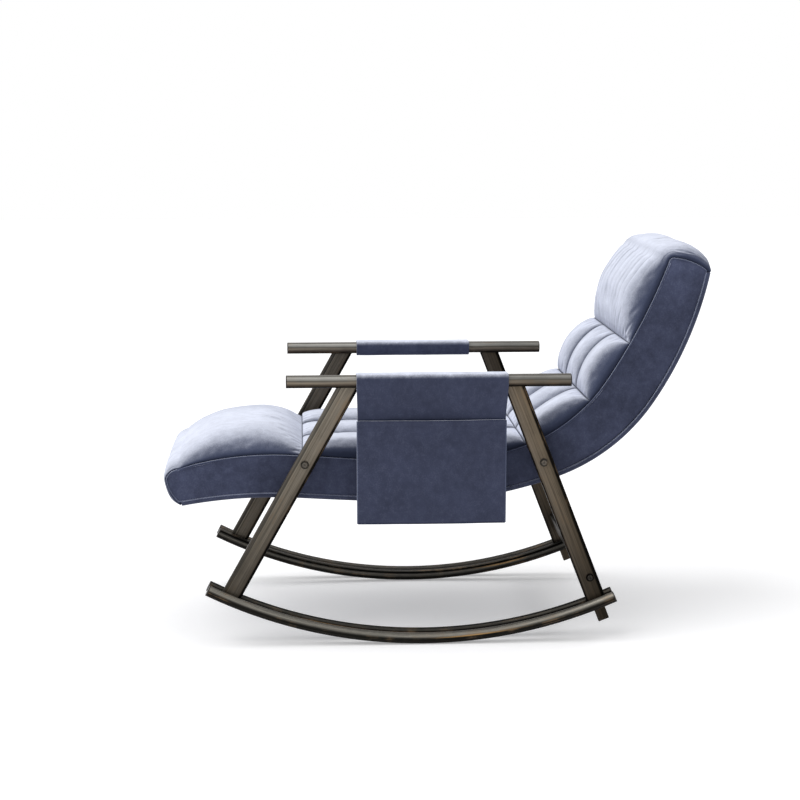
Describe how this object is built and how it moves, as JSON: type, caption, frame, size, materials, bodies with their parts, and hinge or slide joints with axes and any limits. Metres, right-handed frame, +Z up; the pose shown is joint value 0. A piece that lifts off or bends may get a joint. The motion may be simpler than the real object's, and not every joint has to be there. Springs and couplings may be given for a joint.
{
  "type": "rocking lounge chair",
  "caption": "Rocking lounge chair: one long padded seat with leg rest and headrest, bolted in a steel tube frame with armrests and curved runners, and a cloth pocket on one arm.",
  "frame": {"origin": "on the floor, on the centre plane, under the centre of the runners' curve, where they touch the floor at rest", "axes": "-Y is the chair's front, +Y its head end, +X its left side and +Z up"},
  "size_m": [0.6483, 1.2546, 0.9046],
  "materials": {
    "frame_metal": "satin",
    "runner_metal": "satin",
    "end_caps": "matte",
    "stop_metal": "satin",
    "bolts": "satin",
    "inner_steel": "matte",
    "plug_steel": "satin",
    "seat_velvet": "matte",
    "side_velvet": "matte",
    "panel_cloth": "matte",
    "sleeve_velvet": "matte",
    "foam": "matte",
    "webbing": "matte"
  },
  "bodies": {
    "root": {"back_cross_tube": "inner_steel", "back_panel": "panel_cloth", "base_foam": "foam", "foot_bolster": "seat_velvet", "foot_cross_tube": "inner_steel", "front_leg_plugs": "end_caps", "head_cross_tube": "inner_steel", "headrest": "seat_velvet", "hip_cross_tube": "inner_steel", "left_arm_sleeve": "sleeve_velvet", "left_armrest": "frame_metal", "left_armrest_caps": "end_caps", "left_front_leg": "frame_metal", "left_inner_runner": "runner_metal", "left_outer_runner": "runner_metal", "left_rear_leg": "frame_metal", "left_runner_caps": "end_caps", "left_seat_rail": "inner_steel", "left_side_band": "side_velvet", "left_side_foam": "foam", "left_tilt_stop": "stop_metal", "lower_back_pad": "seat_velvet", "pocket": "sleeve_velvet", "rear_stretcher": "frame_metal", "right_arm_sleeve": "sleeve_velvet", "right_armrest": "frame_metal", "right_armrest_caps": "end_caps", "right_front_leg": "frame_metal", "right_inner_runner": "runner_metal", "right_outer_runner": "runner_metal", "right_rear_leg": "frame_metal", "right_runner_caps": "end_caps", "right_seat_rail": "inner_steel", "right_side_band": "side_velvet", "right_side_foam": "foam", "right_tilt_stop": "stop_metal", "seat_bolt_washers": "bolts", "seat_bolts": "bolts", "seat_brackets": "inner_steel", "seat_pad": "seat_velvet", "seat_spacers": "frame_metal", "stretcher_bolt_washers": "bolts", "stretcher_bolts": "bolts", "stretcher_plugs": "plug_steel", "thigh_cross_tube": "inner_steel", "top_foam": "foam", "upper_back_pad": "seat_velvet", "webbing": "webbing"}
  },
  "joints": []
}
